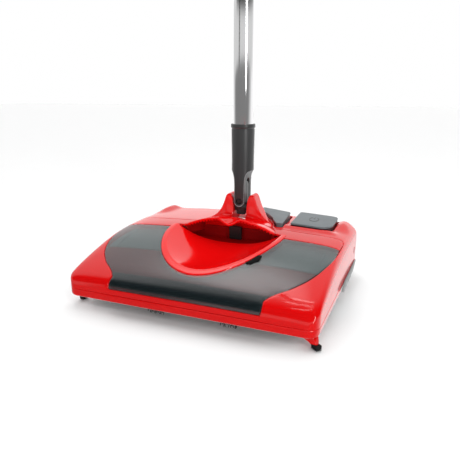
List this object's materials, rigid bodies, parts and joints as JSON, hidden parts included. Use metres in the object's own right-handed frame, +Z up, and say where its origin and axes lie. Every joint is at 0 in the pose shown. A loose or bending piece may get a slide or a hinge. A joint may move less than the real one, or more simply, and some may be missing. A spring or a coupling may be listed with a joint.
{
  "type": "carpet sweeper",
  "caption": "Low cordless floor sweeper head with a smoked lift-out dust box, scoop-shaped hand hold, brush roller, foot pedals and a tall tube handle on a two-way joint.",
  "frame": {"origin": "on the floor under the middle of the object's box", "axes": "+Z up, -Y the front of the head, +X its right-hand side"},
  "size_m": [0.2946, 0.249, 1.128],
  "materials": {
    "red_shell": "glossy moulded ABS",
    "inner_red": "satin moulded ABS",
    "smoked_window": "smoked see-through plastic",
    "dust_grey": "moulded",
    "charcoal": "fine moulded texture",
    "pedal_grey": "satin moulded",
    "black_plastic": "moulded",
    "bristle_black": "nylon bristle",
    "rubber_black": "matt",
    "bumper_grey": "matt",
    "tube_aluminium": "satin anodised",
    "steel": "plain",
    "battery_blue": "shrink wrap",
    "board_green": "solder resist"
  },
  "bodies": {
    "head": {"upper_cover": "red_shell", "handle_yoke": "red_shell", "base_tray": "red_shell", "corner_arm_left": "red_shell", "corner_arm_right": "red_shell", "grip_pocket": "inner_red", "brush_hood": "inner_red", "pedal_bracket": "charcoal", "motor_cradle": "charcoal", "roller_fork_left": "charcoal", "roller_fork_right": "charcoal", "power_switch": "black_plastic", "charge_socket": "black_plastic", "corner_brush_left": "bristle_black", "corner_brush_right": "bristle_black", "drive_belt": "rubber_black", "side_bumper_left": "bumper_grey", "side_bumper_right": "bumper_grey", "base_screw_1": "steel", "base_screw_2": "steel", "base_screw_3": "steel", "base_screw_4": "steel", "brush_bearing_left": "steel", "brush_bearing_right": "steel", "motor_case": "steel", "pedal_pin": "steel", "power_pedal_spring": "steel", "release_pedal_spring": "steel", "rear_axle_left": "steel", "rear_axle_right": "steel", "tilt_pin": "steel", "battery_pack": "battery_blue", "circuit_board": "board_green"},
    "brush": {"brush_core": "charcoal", "bristle_row_1": "bristle_black", "bristle_row_2": "bristle_black", "brush_pulley": "black_plastic"},
    "motor_rotor": {"motor_pulley": "black_plastic"},
    "rear_wheel_left": {"rear_wheel_left": "charcoal", "rear_tyre_left": "rubber_black"},
    "rear_wheel_right": {"rear_wheel_right": "charcoal", "rear_tyre_right": "rubber_black"},
    "front_roller_left": {"front_roller_left": "black_plastic"},
    "front_roller_right": {"front_roller_right": "black_plastic"},
    "power_pedal": {"power_pedal": "pedal_grey"},
    "release_pedal": {"release_pedal": "pedal_grey"},
    "release_latch": {"release_latch": "black_plastic"},
    "dust_box": {"window_panel": "smoked_window", "scoop_frame": "red_shell", "dust_tray": "dust_grey"},
    "knuckle": {"knuckle": "charcoal", "swing_pin": "steel"},
    "handle": {"fork_collar": "charcoal", "lower_tube": "tube_aluminium", "lower_joiner": "charcoal", "middle_tube": "tube_aluminium", "upper_joiner": "charcoal", "upper_tube": "tube_aluminium", "handle_grip": "rubber_black", "hanging_cap": "black_plastic"}
  },
  "joints": [
    {"name": "handle_tilt", "type": "hinge", "parent": "head", "child": "knuckle", "pos_m": [0, 0.0585, 0.089], "axis": [1, 0, 0], "range_deg": [-80, 0]},
    {"name": "handle_swing", "type": "hinge", "parent": "knuckle", "child": "handle", "pos_m": [0, 0.0585, 0.098], "axis": [0, 1, 0], "range_deg": [-25, 25]},
    {"name": "brush_spin", "type": "hinge", "parent": "head", "child": "brush", "pos_m": [0, -0.0865, 0.0196], "axis": [1, 0, 0], "continuous": true},
    {"name": "motor_spin", "type": "hinge", "parent": "head", "child": "motor_rotor", "pos_m": [0, 0.0735, 0.044], "axis": [1, 0, 0], "continuous": true},
    {"name": "rear_wheel_left_spin", "type": "hinge", "parent": "head", "child": "rear_wheel_left", "pos_m": [-0.111, 0.0925, 0.018], "axis": [1, 0, 0], "continuous": true},
    {"name": "rear_wheel_right_spin", "type": "hinge", "parent": "head", "child": "rear_wheel_right", "pos_m": [0.111, 0.0925, 0.018], "axis": [1, 0, 0], "continuous": true},
    {"name": "front_roller_left_spin", "type": "hinge", "parent": "head", "child": "front_roller_left", "pos_m": [-0.1335, -0.0425, 0.007], "axis": [1, 0, 0], "continuous": true},
    {"name": "front_roller_right_spin", "type": "hinge", "parent": "head", "child": "front_roller_right", "pos_m": [0.1335, -0.0425, 0.007], "axis": [1, 0, 0], "continuous": true},
    {"name": "power_pedal_press", "type": "hinge", "parent": "head", "child": "power_pedal", "pos_m": [0.0963, 0.0525, 0.06], "axis": [1, 0, 0], "range_deg": [-4, 0], "stiffness_Nm_per_rad": 6, "springref_deg": 1.15, "deforming": ["power_pedal_spring"]},
    {"name": "release_pedal_press", "type": "hinge", "parent": "head", "child": "release_pedal", "pos_m": [0.0544, 0.0525, 0.06], "axis": [1, 0, 0], "range_deg": [-4, 0], "stiffness_Nm_per_rad": 6, "springref_deg": 1.15, "deforming": ["release_pedal_spring"]},
    {"name": "latch_slide", "type": "slide", "parent": "head", "child": "release_latch", "axis": [0, 1, 0], "range_m": [0, 0.003]},
    {"name": "dust_box_lift", "type": "slide", "parent": "head", "child": "dust_box", "axis": [0, 0, 1], "range_m": [0, 0.09]}
  ],
  "couplings": [
    {"joint": "motor_spin", "follows": "brush_spin", "ratio": 2},
    {"joint": "latch_slide", "follows": "release_pedal_press", "m_per_rad": -0.042}
  ]
}
